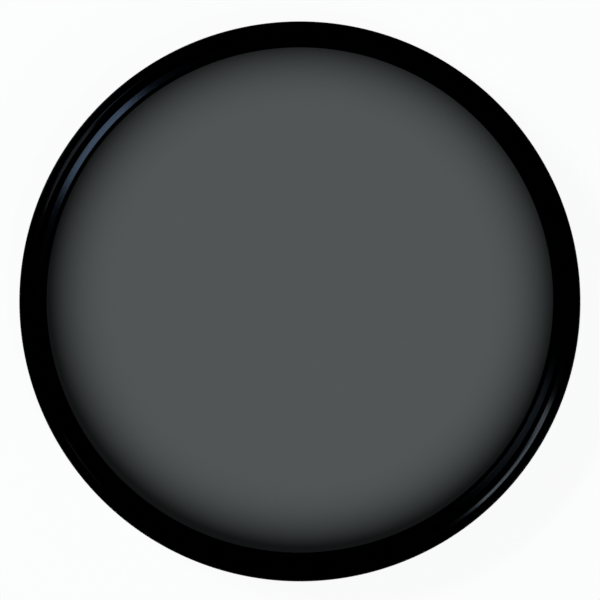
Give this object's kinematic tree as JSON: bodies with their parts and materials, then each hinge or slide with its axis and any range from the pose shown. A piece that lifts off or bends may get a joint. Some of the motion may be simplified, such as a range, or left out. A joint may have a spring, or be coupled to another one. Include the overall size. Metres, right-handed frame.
{
  "type": "neutral density filter",
  "caption": "Round screw-in neutral density filter for a camera lens: grey glass disc held in a knurled, threaded black ring by a slotted retaining ring.",
  "frame": {"origin": "on the optical axis, in the plane of the rear end face of the rear thread", "axes": "+Z along the optical axis from the lens towards the subject, +Y towards one notch of the retaining ring"},
  "size_m": [0.08, 0.08, 0.0068],
  "materials": {
    "ring_anodised": "black anodised, satin",
    "nd_glass": "polished neutral grey glass, coated",
    "retainer_anodised": "black anodised over fine turning marks"
  },
  "bodies": {
    "root": {"mount_ring": "ring_anodised", "nd_glass": "nd_glass", "retaining_ring": "retainer_anodised"}
  },
  "joints": []
}
